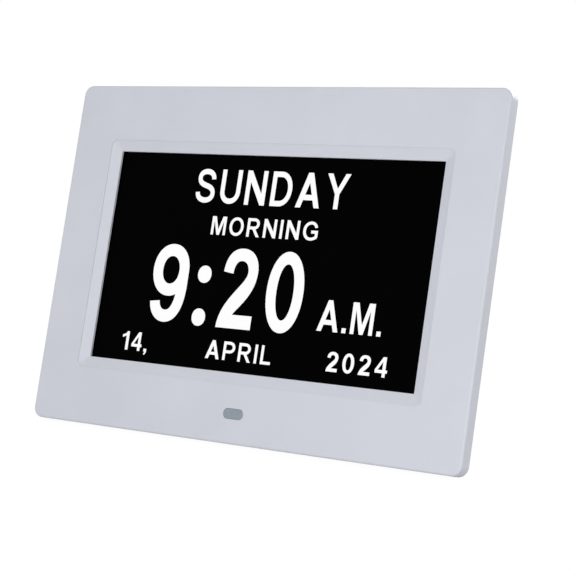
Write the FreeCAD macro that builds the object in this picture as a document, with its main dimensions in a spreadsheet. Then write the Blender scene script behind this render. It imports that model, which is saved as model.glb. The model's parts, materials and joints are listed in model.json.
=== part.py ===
import FreeCAD, Part
import Sketcher
import math
import os
import re

from FreeCAD import Placement, Rotation, Vector

# A day clock that shows the day, the part of the day, the time and the date on a colour display.
# The case is drawn upright, then leaned back on its folding leg.
# Upright, X runs to the viewer's right, Y from the front face to the back, and Z up the case.
# The upright origin is the middle of the front face's bottom edge. All sizes are in millimetres.

SIZES = {
    # Display window and its sloped surround
    "window_width": 156.0,
    "window_height": 89.2,
    "window_corner": 0.3,
    "slope_margin": 4.6,
    "slope_corner": 2.6,
    "slope_step": 0.35,
    "slope_depth": 2.0,
    "lip_thickness": 1.0,
    "lip_border": 2.5,
    # Front frame: its bezel runs from the window to the frame's sides and ends
    "bezel_side": 24.5,
    "bezel_end": 28.4,
    "frame_depth": 6.5,
    "frame_corner": 4.3,
    "frame_front_wall": 2.0,
    "frame_side_wall": 2.2,
    "frame_front_round": 0.9,
    "frame_back_round": 0.4,
    # Rear cover: its housing leaves room round the display module
    "cover_gap": 0.15,
    "flange_thickness": 2.0,
    "housing_side_room": 8.5,
    "housing_end_room": 12.0,
    "housing_corner": 12.0,
    "housing_inset": 3.2,
    "housing_round": 2.0,
    "cover_wall": 2.0,
    # Folding leg, its channel and its pin
    "lean_angle": 15.5,
    "open_angle": 33.5,
    "hinge_offset": 28.0,
    "channel_width": 34.0,
    "channel_depth": 6.0,
    "channel_top_room": 5.2,
    "channel_foot_gap": 0.2,
    "pin_radius": 1.5,
    "pin_press_gap": 0.01,
    "pin_running_gap": 0.06,
    "lug_thickness": 2.5,
    "lug_height": 9.0,
    "leg_side_gap": 0.4,
    "leg_flush_gap": 0.8,
    "leg_skin": 1.8,
    "leg_rim": 2.2,
    "leg_edge_round": 0.8,
    "leg_pocket_corner": 1.0,
    "barrel_gap": 0.3,
    "stop_gap": 0.1,
    "stop_height": 3.5,
    "stop_side_inset": 1.0,
    "foot_thickness": 2.0,
    "foot_side_inset": 1.0,
    "foot_corner": 1.2,
    # Display module
    "module_side_border": 4.5,
    "module_end_border": 5.4,
    "module_depth": 5.6,
    "module_gap": 0.3,
    "module_sheet": 0.4,
    "module_slack": 0.15,
    "gasket_thickness": 0.3,
    "gasket_margin": 0.5,
    "polarizer_margin": 0.6,
    "polarizer_gap": 0.2,
    "polarizer_thickness": 0.25,
    "glass_thickness": 1.5,
    "diffuser_thickness": 0.4,
    "tray_thickness": 0.8,
    "strip_thickness": 0.8,
    "strip_side_gap": 1.0,
    "lamp_width": 3.5,
    "lamp_height": 1.3,
    "lamp_depth": 1.9,
    "lamp_pitch": 8.5,
    "lamp_guide_gap": 0.15,
    "rib_thickness": 1.2,
    "rib_height": 2.5,
    "display_flex_x": 12.0,
    "display_flex_width": 30.0,
    "flex_thickness": 0.2,
    "flex_notch_gap": 1.0,
    "flex_drop": 1.4,
    "flex_stand_off": 0.5,
    # Clips that hold the display module
    "clip_boss_radius": 2.0,
    "clip_boss_gap": 1.0,
    "clip_boss_spread": 25.0,
    "clip_width": 6.8,
    "clip_height": 7.0,
    "clip_thickness": 0.8,
    "clip_overhang": 1.8,
    "clip_corner": 0.8,
    # Screws
    "screw_radius": 0.9,
    "screw_hole_radius": 1.15,
    "screw_bite_gap": 0.02,
    "screw_head_radius": 1.8,
    "screw_head_height": 1.0,
    "screw_head_round": 0.35,
    "screw_head_gap": 0.25,
    "screw_cross_length": 2.2,
    "screw_cross_width": 0.55,
    "screw_cross_depth": 0.6,
    "screw_tip_room": 0.3,
    "case_screw_length": 4.0,
    "clip_screw_length": 4.5,
    "board_screw_length": 5.0,
    "case_boss_radius": 2.6,
    "case_screw_corner_inset": 9.0,
    "case_screw_end_inset": 8.5,
    "case_screw_side_inset": 6.9,
    "counterbore_depth": 1.1,
    # Light sensor in the lower frame
    "sensor_offset": 0.15,
    "sensor_width": 9.3,
    "sensor_height": 4.05,
    "sensor_corner": 1.8,
    "sensor_gap": 0.1,
    "sensor_sink": 0.1,
    "sensor_flange": 1.1,
    "sensor_flange_thickness": 0.7,
    "receiver_width": 7.5,
    "receiver_height": 5.5,
    "receiver_depth": 1.6,
    "receiver_gap": 0.1,
    "receiver_corner": 0.4,
    "sensor_board_width": 26.0,
    "sensor_board_height": 8.0,
    "sensor_board_thickness": 0.8,
    "sensor_board_corner": 1.0,
    "sensor_post_radius": 0.9,
    "sensor_post_spread": 10.5,
    "sensor_post_gap": 0.12,
    "sensor_post_proud": 0.2,
    "sensor_pocket_room": 0.8,
    "sensor_pocket_gap": 0.1,
    "sensor_cable_x": -8.0,
    "sensor_cable_width": 4.0,
    "sensor_cable_room": 1.5,
    # Main circuit board, between the jack's side of the housing and the button board
    "board_standoff": 2.3,
    "board_channel_gap": 1.6,
    "board_drop": 33.0,
    "board_height": 50.0,
    "boards_gap": 15.0,
    "board_thickness": 1.2,
    "board_corner": 1.5,
    "board_hole_inset": 5.5,
    "post_radius": 2.6,
    # Parts on the main board, measured from its left side and its foot
    "chip_corner": 0.5,
    "processor_from_left": 50.0,
    "processor_from_foot": 18.0,
    "processor_size": 14.0,
    "processor_thickness": 1.4,
    "memory_from_foot": 36.0,
    "memory_width": 8.0,
    "memory_height": 6.0,
    "memory_thickness": 1.2,
    "crystal_from_left": 32.0,
    "crystal_from_foot": 28.0,
    "crystal_width": 10.5,
    "crystal_height": 4.6,
    "crystal_thickness": 3.4,
    "coil_from_left": 26.0,
    "coil_from_foot": 14.0,
    "coil_size": 7.0,
    "coil_thickness": 3.2,
    "capacitor_radius": 3.15,
    "capacitor_height": 5.4,
    "capacitor_round": 0.5,
    "capacitor_from_left": 14.0,
    "capacitor_pitch": 24.0,
    "connector_depth": 2.6,
    "connector_width": 6.0,
    "connector_height": 4.0,
    "speaker_plug_from_left": 40.0,
    "speaker_plug_from_top": 4.5,
    "button_plug_inset": 3.5,
    "button_plug_margin": 0.5,
    "button_plug_from_foot": 14.0,
    "flex_socket_from_foot": 8.0,
    "flex_socket_margin": 1.5,
    "flex_socket_height": 4.0,
    "flex_socket_depth": 2.0,
    "sensor_socket_from_foot": 1.0,
    # Backup cell
    "cell_channel_gap": 2.0,
    "cell_from_foot": 30.0,
    "cell_radius": 10.0,
    "cell_thickness": 3.2,
    "cell_round": 0.4,
    "cell_gap": 0.3,
    "cell_floor": 0.8,
    "holder_wall": 0.9,
    "holder_height": 2.6,
    "holder_corner": 3.0,
    # Power jack
    "jack_from_foot": 24.0,
    "jack_side_room": 5.4,
    "jack_overhang": 1.6,
    "jack_length": 9.5,
    "jack_width": 6.5,
    "jack_height": 5.5,
    "jack_corner": 0.4,
    "jack_bore_radius": 1.8,
    "jack_bore_depth": 7.5,
    "jack_pin_radius": 0.65,
    "jack_pin_sink": 0.8,
    "jack_pin_round": 0.3,
    "jack_door_radius": 4.1,
    # Push buttons
    "button_side_room": 25.0,
    "button_pitch": 11.0,
    "button_width": 10.0,
    "button_height": 6.0,
    "button_corner": 2.9,
    "button_gap": 0.25,
    "button_proud": 1.0,
    "button_top_round": 0.5,
    "button_flange": 0.9,
    "button_flange_thickness": 1.1,
    "button_wall_gap": 0.1,
    "button_stem_radius": 2.0,
    "button_travel": 0.4,
    "button_stem_length": 1.2,
    "button_board_width": 14.0,
    "button_board_end_room": 12.0,
    "switch_size": 6.0,
    "switch_height": 3.4,
    "switch_corner": 0.6,
    "plunger_radius": 1.7,
    "plunger_gap": 0.1,
    "plunger_length": 1.9,
    "plunger_proud": 0.6,
    "plunger_room": 0.3,
    "button_post_inset": 4.0,
    "button_socket_offset": 5.2,
    "button_socket_width": 3.0,
    "button_cable_height": 7.0,
    "button_cable_thickness": 0.6,
    "button_cable_lift": 1.2,
    # Speaker
    "speaker_side_room": 27.0,
    "speaker_offset": 23.0,
    "speaker_radius": 14.0,
    "speaker_depth": 6.2,
    "speaker_sheet": 0.5,
    "speaker_cup_depth": 3.4,
    "speaker_gasket_thickness": 0.4,
    "speaker_gasket_width": 1.6,
    "speaker_ring_gap": 0.2,
    "speaker_ring_wall": 1.2,
    "speaker_ring_height": 3.6,
    "cone_rim_gap": 0.05,
    "cone_rim_inset": 0.9,
    "cone_neck_radius": 4.0,
    "cone_thickness": 0.35,
    "cone_depth": 1.8,
    "magnet_radius": 8.0,
    "speaker_wire_radius": 0.55,
    "speaker_wire_spread": 1.0,
    "speaker_wire_inset": 3.0,
    "grille_hole_radius": 1.0,
    "grille_inner_ring": 4.4,
    "grille_outer_ring": 8.8,
    # Vents, keyholes and label of the rear face
    "vent_width": 1.8,
    "vent_height": 11.0,
    "vent_foot_room": 16.0,
    "vent_pitch": 5.0,
    "vent_channel_gap": 10.0,
    "slot_end_flat": 0.05,
    "keyhole_side_room": 47.0,
    "keyhole_offset": 40.0,
    "keyhole_entry_radius": 4.2,
    "keyhole_slot_radius": 2.1,
    "keyhole_slot_run": 7.5,
    "label_side_room": 39.0,
    "label_offset": 21.0,
    "label_width": 54.0,
    "label_height": 26.0,
    "label_corner": 2.0,
    "label_recess": 0.3,
    "label_gap": 0.4,
    "label_thickness": 0.15,
    # Overlap of two features that join into one piece, and reach of a cut past what it cuts
    "join_overlap": 0.1,
    "cut_reach": 3.0,
}

# Counts, which say how many copies a row or ring has
VENT_COUNT = 8
GRILLE_INNER_COUNT = 6
GRILLE_OUTER_COUNT = 12
LEG_POCKET_COUNT = 3
BUTTON_NAMES = ["power", "menu", "left", "up", "down", "right", "ok"]

doc = FreeCAD.newDocument("day_clock")
sheet = doc.addObject("Spreadsheet::Sheet", "Sizes")
for row, (size_name, size_value) in enumerate(SIZES.items(), start=1):
    sheet.set(f"A{row}", size_name)
    sheet.set(f"B{row}", str(size_value))
    sheet.setAlias(f"B{row}", size_name)
places = doc.addObject("App::VarSet", "Places")
doc.recompute()

derived_names = []
pieces = {}


def bound(text):
    """The expression with every size and derived value pointed at the object that keeps it."""

    def owner(match):
        word = match.group(0)
        if word in SIZES:
            return f"Sizes.{word}"
        return f"Places.{word}" if word in derived_names else word

    return re.sub(r"[a-z][a-z_]+", owner, str(text))


def value(text):
    """The number that an expression of sizes gives now."""
    return float(sheet.evalExpression(bound(text)))


def derive(name, text):
    """A value worked out from the sizes, kept beside its formula."""
    places.addProperty("App::PropertyFloat", name)
    places.setExpression(name, bound(text))
    derived_names.append(name)
    doc.recompute([places])


def bind(target, path, text):
    """Ties one property of an object to an expression of sizes."""
    target.setExpression(path, bound(text))


# Sizes that follow from the window: the frame, the display module and the housing round it
derive("frame_width", "window_width + 2 * bezel_side")
derive("frame_height", "window_height + 2 * bezel_end")
derive("middle_rise", "frame_height / 2")
derive("module_width", "window_width + 2 * module_side_border")
derive("module_height", "window_height + 2 * module_end_border")
derive("housing_width", "module_width + 2 * housing_side_room")
derive("housing_height", "module_height + 2 * housing_end_room")
derive("housing_half", "housing_width / 2")
derive("housing_bottom", "middle_rise - housing_height / 2")

# Places along the depth of the case
derive("flange_front", "frame_depth - flange_thickness")
derive("lip_back", "slope_depth + lip_thickness")
derive("module_front", "lip_back + gasket_thickness")
derive("module_back", "module_front + module_depth")
derive("glass_front", "module_front + module_sheet")
derive("glass_back", "glass_front + glass_thickness")
derive("guide_front", "glass_back + diffuser_thickness")
derive("tray_front", "module_back - tray_thickness")
derive("inner_width", "module_width - 2 * module_sheet - 2 * module_slack")
derive("inner_height", "module_height - 2 * module_sheet - 2 * module_slack")
derive("inner_bottom", "middle_rise - inner_height / 2")
derive("strip_bottom", "inner_bottom + module_slack")
derive("lamp_bottom", "strip_bottom + strip_thickness")
derive("guide_bottom", "lamp_bottom + lamp_height + lamp_guide_gap")
derive("guide_top", "middle_rise + inner_height / 2")
derive("board_front", "module_back + board_standoff")
derive("board_back", "board_front + board_thickness")
derive("cover_inside", "board_back + board_channel_gap + channel_depth")
derive("case_depth", "cover_inside + cover_wall")
derive("flex_plane", "module_back + flex_stand_off")
derive("receiver_front", "frame_front_wall + sensor_flange_thickness + receiver_gap")
derive("sensor_board_front", "receiver_front + receiver_depth")
derive("sensor_board_back", "sensor_board_front + sensor_board_thickness")

# Places across the case, from the sides of the housing inwards
derive("button_x", "housing_half - button_side_room")
derive("button_socket_x", "button_x - button_socket_offset")
derive("jack_face", "jack_side_room - housing_half")
derive("speaker_x", "speaker_side_room - housing_half")
derive("label_x", "label_side_room - housing_half")
derive("keyhole_x", "housing_half - keyhole_side_room")
derive("vent_near_x", "channel_width / 2 + vent_channel_gap")
derive("clip_boss_x", "module_width / 2 + clip_boss_gap + clip_boss_radius")
derive("case_screw_corner_x", "frame_width / 2 - case_screw_corner_inset")
derive("case_screw_side_x", "frame_width / 2 - case_screw_side_inset")

# Heights of what sits in the rear cover and in the frame
derive("speaker_rise", "middle_rise + speaker_offset")
derive("keyhole_rise", "middle_rise + keyhole_offset")
derive("label_rise", "middle_rise - label_offset")
derive("vent_rise", "housing_bottom + vent_foot_room")
derive("case_screw_corner_rise", "frame_height / 2 - case_screw_end_inset")
derive("sensor_rise", "(bezel_end - slope_margin) / 2 + sensor_offset")
derive("sensor_cable_rise", "sensor_rise + sensor_board_height / 2 + sensor_cable_room")

# The main board and what it carries
derive("board_left", "jack_face + jack_overhang")
derive("board_right", "button_x - button_board_width / 2 - boards_gap")
derive("board_middle_x", "(board_left + board_right) / 2")
derive("board_bottom", "middle_rise - board_drop")
derive("board_top", "board_bottom + board_height")
derive("processor_x", "board_left + processor_from_left")
derive("processor_rise", "board_bottom + processor_from_foot")
derive("memory_x", "processor_x")
derive("memory_rise", "board_bottom + memory_from_foot")
derive("crystal_x", "board_left + crystal_from_left")
derive("crystal_rise", "board_bottom + crystal_from_foot")
derive("coil_x", "board_left + coil_from_left")
derive("coil_rise", "board_bottom + coil_from_foot")
derive("jack_rise", "board_bottom + jack_from_foot")
derive("capacitor_x", "board_left + capacitor_from_left")
derive("capacitor_rise", "jack_rise - capacitor_pitch / 2")
derive("speaker_plug_x", "board_left + speaker_plug_from_left")
derive("speaker_plug_rise", "board_top - speaker_plug_from_top")
derive("button_plug_x", "board_right - button_plug_inset")
derive("button_plug_rise", "board_bottom + button_plug_from_foot")
derive("flex_socket_rise", "board_bottom + flex_socket_from_foot")
derive("sensor_socket_rise", "board_bottom + sensor_socket_from_foot")
derive("holder_half", "cell_radius + cell_gap + holder_wall")
derive("cell_x", "channel_width / 2 + cover_wall + cell_channel_gap + holder_half")
derive("cell_rise", "board_bottom + cell_from_foot")

# Places of the hinge and of the channel that the leg folds into
derive("hinge_rise", "middle_rise + hinge_offset")
derive("channel_floor", "case_depth - channel_depth")
derive("channel_foot", "housing_bottom + housing_inset + channel_foot_gap")
derive("channel_top", "hinge_rise + channel_top_room")
derive("leg_thickness", "channel_depth - leg_flush_gap")
derive("barrel_radius", "channel_depth / 2 - barrel_gap")
derive("stop_reach", "channel_depth / 2 - stop_gap")
derive("hinge_depth", "channel_floor + channel_depth / 2")
derive("leg_width", "channel_width - 2 * leg_side_gap")
derive("pin_length", "channel_width + 2 * cover_wall + 2 * lug_thickness")
derive("leg_slant", "open_angle - lean_angle")

# The case stands on the rounded lower back edge of the frame
derive("edge_depth", "frame_depth - frame_back_round")
derive(
    "ground_drop",
    "edge_depth * sin(lean_angle) + frame_back_round * (1 - cos(lean_angle))",
)
derive(
    "hinge_height",
    "hinge_rise * cos(lean_angle) - hinge_depth * sin(lean_angle) + ground_drop",
)
derive("leg_reach", "hinge_height / cos(leg_slant)")
derive("leg_end", "(hinge_height - foot_thickness) / cos(leg_slant)")
derive("foot_depth", "leg_thickness / cos(leg_slant)")

# Front and back of the leaned clock, whose middle is the origin of the finished part
derive(
    "front_reach",
    "frame_front_round * (cos(lean_angle) + sin(lean_angle)) - frame_front_round",
)
derive(
    "foot_middle",
    "hinge_depth * cos(lean_angle) + hinge_rise * sin(lean_angle) + leg_reach * sin(leg_slant)",
)
derive("back_reach", "foot_middle + foot_depth / 2")
derive("middle_depth", "(front_reach + back_reach) / 2")

# Places of the buttons behind the rear wall
derive("button_flange_back", "cover_inside - button_wall_gap")
derive("button_flange_front", "button_flange_back - button_flange_thickness")
derive("plunger_top", "button_flange_front - button_stem_length")
derive("plunger_bottom", "plunger_top - plunger_length")
derive("switch_top", "plunger_top - plunger_proud")
derive("button_board_back", "switch_top - switch_height")
derive("button_board_front", "button_board_back - board_thickness")
derive(
    "button_board_length",
    f"{len(BUTTON_NAMES) - 1} * button_pitch + 2 * button_board_end_room",
)
derive("jack_axis_depth", "board_back + jack_height / 2")
derive("speaker_back", "cover_inside - speaker_gasket_thickness")
derive("speaker_cup_front", "speaker_back - speaker_cup_depth")


def case_placement():
    """How the upright case is leaned back and moved to the origin of the finished part."""
    shift = Vector(0, -value("middle_depth"), value("ground_drop"))
    return Placement(shift, Rotation(Vector(1, 0, 0), -value("lean_angle")))


def hinge_placement():
    """Where the opened leg's own axes lie: on the pin, with the leg hanging along minus Z."""
    hinge = Vector(0, value("hinge_depth"), value("hinge_rise"))
    opened = Placement(hinge, Rotation(Vector(1, 0, 0), value("open_angle")))
    return case_placement().multiply(opened)


def new_body(label):
    """An empty body for one piece."""
    body = doc.addObject("PartDesign::Body", label)
    body.Label = label
    return body


def merge_faces(body):
    """Joins the faces that its features left split, once the body is whole."""
    body.Tip.Refine = True


def keep(label, piece, placement=None):
    """Names a finished piece and gives it its place in the finished clock."""
    if hasattr(piece, "Tip"):
        merge_faces(piece)
    piece.Label = label
    piece.Placement = placement or case_placement()
    pieces[label] = piece
    return piece


# How a sketch on each plane is set out: its two directions and its depth, as (x, y, z) of the piece
PLANES = {
    "XZ": ("XZ_Plane", lambda x, y, z: (x, z, f"-({y})"), True),
    "YZ": ("YZ_Plane", lambda x, y, z: (y, z, x), False),
    "XY": ("XY_Plane", lambda x, y, z: (x, y, z), False),
}


def new_sketch(body, plane, x, y, z, turn="0"):
    """A sketch on one of the body's planes, moved to x, y, z and turned about its own normal."""
    role, order, _ = PLANES[plane]
    sketch = body.newObject("Sketcher::SketchObject", "Outline")
    support = next(f for f in body.Origin.OriginFeatures if f.Role == role)
    sketch.AttachmentSupport = (support, "")
    sketch.MapMode = "FlatFace"
    for axis, text in zip("xyz", order(x, y, z)):
        bind(sketch, f"AttachmentOffset.Base.{axis}", text)
    bind(sketch, "AttachmentOffset.Rotation.Angle", turn)
    return sketch


def measure(sketch, name, text, kind, *ends):
    """A named dimension of a sketch, tied to an expression of sizes."""
    index = sketch.addConstraint(Sketcher.Constraint(kind, *ends, value(text)))
    sketch.renameConstraint(index, name)
    bind(sketch, f"Constraints.{name}", text)


def draw_circles(sketch, radius, points):
    """Equal circles at points measured from the sketch's origin."""
    for n, (across, up) in enumerate(points):
        at = Vector(value(across), value(up), 0)
        sketch.addGeometry(Part.Circle(at, Vector(0, 0, 1), value(radius)), False)
        if n:
            sketch.addConstraint(Sketcher.Constraint("Equal", 0, n))
        measure(sketch, f"across{n}", across, "DistanceX", -1, 1, n, 3)
        measure(sketch, f"up{n}", up, "DistanceY", -1, 1, n, 3)
    measure(sketch, "radius", radius, "Radius", 0)


def draw_rectangle(sketch, width, height, corner="0"):
    """A rectangle about the sketch's origin, its corners rounded unless corner is 0."""
    half_w, half_h, r = value(width) / 2, value(height) / 2, value(corner)
    inner_w, inner_h = half_w - r, half_h - r
    sides = [
        ((-inner_w, -half_h), (inner_w, -half_h)),
        ((half_w, -inner_h), (half_w, inner_h)),
        ((inner_w, half_h), (-inner_w, half_h)),
        ((-half_w, inner_h), (-half_w, -inner_h)),
    ]
    for start, end in sides:
        sketch.addGeometry(Part.LineSegment(Vector(*start, 0), Vector(*end, 0)), False)
    rules = [("Horizontal", 0), ("Vertical", 1), ("Horizontal", 2), ("Vertical", 3)]
    if r > 0:
        centres = [(inner_w, -inner_h), (inner_w, inner_h), (-inner_w, inner_h), (-inner_w, -inner_h)]
        for quarter, centre in enumerate(centres):
            circle = Part.Circle(Vector(*centre, 0), Vector(0, 0, 1), r)
            start = (quarter - 1) * math.pi / 2
            sketch.addGeometry(Part.ArcOfCircle(circle, start, start + math.pi / 2), False)
            arc, after = 4 + quarter, (quarter + 1) % 4
            rules += [("Tangent", quarter, 2, arc, 1), ("Tangent", arc, 2, after, 1)]
            if quarter:
                rules.append(("Equal", 4, arc))
    else:
        rules += [("Coincident", side, 2, (side + 1) % 4, 1) for side in range(4)]
    rules.append(("Symmetric", 0, 1, 2, 1, -1, 1))
    for rule in rules:
        sketch.addConstraint(Sketcher.Constraint(*rule))
    measure(sketch, "width", width, "DistanceX", 3, 1, 1, 1)
    measure(sketch, "height", height, "DistanceY", 0, 1, 2, 1)
    if r > 0:
        measure(sketch, "corner", corner, "Radius", 4)


def extrude(body, sketch, plane, length, cut):
    """Adds or cuts a prism from the sketch towards plus Y, plus X or plus Z."""
    against_normal = PLANES[plane][2]
    feature = body.newObject("PartDesign::Pocket" if cut else "PartDesign::Pad", "Prism")
    feature.Profile = sketch
    bind(feature, "Length", length)
    feature.Reversed = against_normal != cut
    feature.Refine = False
    return feature


def block(body, width, height, start, end, x="0", z="middle_rise", corner="0", cut=False):
    """An upright slab from depth start to depth end, centred on x and z."""
    sketch = new_sketch(body, "XZ", x, start, z)
    draw_rectangle(sketch, width, height, corner)
    return extrude(body, sketch, "XZ", f"({end}) - ({start})", cut)


def peg(body, radius, start, end, x="0", z="middle_rise", cut=False):
    """A round peg from depth start to depth end, centred on x and z."""
    return pegs(body, radius, start, end, [(x, z)], cut)


def pegs(body, radius, start, end, points, cut=False):
    """Round pegs of one size from depth start to depth end, one at each x and z."""
    sketch = new_sketch(body, "XZ", "0", start, "0")
    draw_circles(sketch, radius, points)
    return extrude(body, sketch, "XZ", f"({end}) - ({start})", cut)


def cross_peg(body, radius, start, end, y, z, cut=False):
    """A round peg along X, from x start to x end."""
    sketch = new_sketch(body, "YZ", start, "0", "0")
    draw_circles(sketch, radius, [(y, z)])
    return extrude(body, sketch, "YZ", f"({end}) - ({start})", cut)


def repeat(body, feature, kind, axis, count):
    """Repeats a feature along or about an axis of its own sketch."""
    doc.recompute()
    pattern = body.newObject(f"PartDesign::{kind}", "Copies")
    pattern.Originals = [feature]
    pattern.Occurrences = count
    pattern.Refine = False
    body.Tip = pattern
    if kind == "PolarPattern":
        pattern.Axis = (feature.Profile[0], [axis])
        pattern.Angle = 360
    else:
        pattern.Direction = (feature.Profile[0], [axis])
    return pattern


def taper(body, near, far, cut=False):
    """A straight-sided loft between two upright rounded rectangles: (width, height, corner, depth)."""
    sketches = []
    for width, height, corner, depth in (near, far):
        sketch = new_sketch(body, "XZ", "0", depth, "middle_rise")
        draw_rectangle(sketch, width, height, corner)
        sketches.append(sketch)
    kind = "PartDesign::SubtractiveLoft" if cut else "PartDesign::AdditiveLoft"
    loft = body.newObject(kind, "Taper")
    loft.Profile = sketches[0]
    loft.Sections = [sketches[1]]
    loft.Ruled = True
    loft.Refine = False
    return loft


def round_edges(body, base, radius, chosen):
    """Rounds the edges of a feature that the chosen test picks."""
    doc.recompute()
    names = [f"Edge{n}" for n, edge in enumerate(base.Shape.Edges, start=1) if chosen(edge)]
    fillet = body.newObject("PartDesign::Fillet", "Rounding")
    fillet.Base = (base, names)
    bind(fillet, "Radius", radius)
    return fillet


def at_depth(depth):
    """A test for edges that lie wholly at one depth."""
    wanted = value(depth)
    return lambda edge: abs(edge.BoundBox.YMin - wanted) < 1e-4 and abs(edge.BoundBox.YMax - wanted) < 1e-4


def slab_piece(label, width, height, start, end, x="0", z="middle_rise", corner="0"):
    """A piece that is one plain upright slab."""
    body = new_body(label)
    block(body, width, height, start, end, x, z, corner)
    return keep(label, body)


def group(label, shapes, placement=None):
    """One or more separate solids under one name."""
    feature = doc.addObject("Part::Feature", label)
    feature.Shape = Part.makeCompound(shapes)
    return keep(label, feature, placement)


def copies(master, points):
    """The master's shape at each point, as a list of shapes."""
    merge_faces(master)
    doc.recompute()
    return [master.Shape.copy().translated(Vector(*point)) for point in points]


def case_screw_points():
    """X and Z of the six screws through the flange of the rear cover."""
    corner_x, side_x = "case_screw_corner_x", "case_screw_side_x"
    low, high = "middle_rise - case_screw_corner_rise", "middle_rise + case_screw_corner_rise"
    corners = [(f"{side}{corner_x}", rise) for side in ("-", "") for rise in (low, high)]
    return corners + [(f"-{side_x}", "middle_rise"), (side_x, "middle_rise")]


def clip_points():
    """X and Z of the four clips that hold the display module."""
    rises = ("middle_rise - clip_boss_spread", "middle_rise + clip_boss_spread")
    return [(side + "clip_boss_x", rise) for side in ("-", "") for rise in rises]


def board_post_points():
    """X and Z of the four posts that carry the main board."""
    sides = ("board_left + board_hole_inset", "board_right - board_hole_inset")
    rises = ("board_bottom + board_hole_inset", "board_top - board_hole_inset")
    return [(side, rise) for side in sides for rise in rises]


def sensor_post_points():
    """X and Z of the two pins that the sensor's board sits on."""
    return [(f"{side}sensor_post_spread", "sensor_rise") for side in ("-", "")]


def button_post_points():
    """X and Z of the two posts that carry the button board."""
    reach = "(button_board_length / 2 - button_post_inset)"
    return [("button_x", f"middle_rise {sign} {reach}") for sign in "-+"]


def button_rise(index):
    """Height of one button, counted from the top of the column."""
    steps = (len(BUTTON_NAMES) - 1) / 2 - index
    return f"middle_rise + ({steps}) * button_pitch"


def front_frame():
    """White front frame: a shallow tray whose window is set in a sloped surround."""
    body = new_body("front_frame")
    slab = block(body, "frame_width", "frame_height", "0", "frame_depth", corner="frame_corner")
    front = round_edges(body, slab, "frame_front_round", at_depth("0"))
    round_edges(body, front, "frame_back_round", at_depth("frame_depth"))
    block(
        body,
        "frame_width - 2 * frame_side_wall",
        "frame_height - 2 * frame_side_wall",
        "frame_front_wall",
        "frame_depth + cut_reach",
        corner="frame_corner - frame_side_wall",
        cut=True,
    )
    slope_width, slope_height = "(window_width + 2 * slope_margin)", "(window_height + 2 * slope_margin)"
    block(
        body,
        f"{slope_width} + 2 * lip_border",
        f"{slope_height} + 2 * lip_border",
        "frame_front_wall - join_overlap",
        "lip_back",
        corner="slope_corner",
    )
    block(body, slope_width, slope_height, "-cut_reach", "slope_step", corner="slope_corner", cut=True)
    taper(
        body,
        (slope_width, slope_height, "slope_corner", "slope_step"),
        ("window_width", "window_height", "window_corner", "slope_depth"),
        cut=True,
    )
    module_ribs(body)
    window_end = "lip_back + cut_reach"
    block(body, "window_width", "window_height", "0", window_end, corner="window_corner", cut=True)
    bite = "screw_radius + screw_bite_gap"
    pegs(body, "case_boss_radius", "frame_front_wall - join_overlap", "flange_front", case_screw_points())
    hole_start = "frame_depth - counterbore_depth - case_screw_length - screw_tip_room"
    pegs(body, bite, hole_start, "flange_front + join_overlap", case_screw_points(), cut=True)
    pegs(body, "clip_boss_radius", "frame_front_wall - join_overlap", "module_back", clip_points())
    hole_start = "module_back + clip_thickness - clip_screw_length - screw_tip_room"
    pegs(body, bite, hole_start, "module_back + join_overlap", clip_points(), cut=True)
    block(
        body,
        "sensor_width + 2 * sensor_gap",
        "sensor_height + 2 * sensor_gap",
        "-cut_reach",
        "frame_front_wall + join_overlap",
        z="sensor_rise",
        corner="sensor_corner + sensor_gap",
        cut=True,
    )
    post_end = "sensor_board_back + sensor_post_proud"
    pegs(body, "sensor_post_radius", "frame_front_wall - join_overlap", post_end, sensor_post_points())
    keep("front_frame", body)


def module_ribs(body):
    """Low wall round the display module, open where its flexible strip leaves."""
    room_width = "(module_width + 2 * module_gap)"
    room_height = "(module_height + 2 * module_gap)"
    rib_back = "lip_back + rib_height"
    block(
        body,
        f"{room_width} + 2 * rib_thickness",
        f"{room_height} + 2 * rib_thickness",
        "lip_back - join_overlap",
        rib_back,
    )
    block(body, room_width, room_height, "lip_back", f"{rib_back} + join_overlap", cut=True)
    block(
        body,
        "display_flex_width + 2 * flex_notch_gap",
        "2 * rib_thickness + 2 * module_gap",
        "lip_back",
        f"{rib_back} + join_overlap",
        x="display_flex_x",
        z="middle_rise - module_height / 2 - rib_thickness",
        cut=True,
    )


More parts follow.
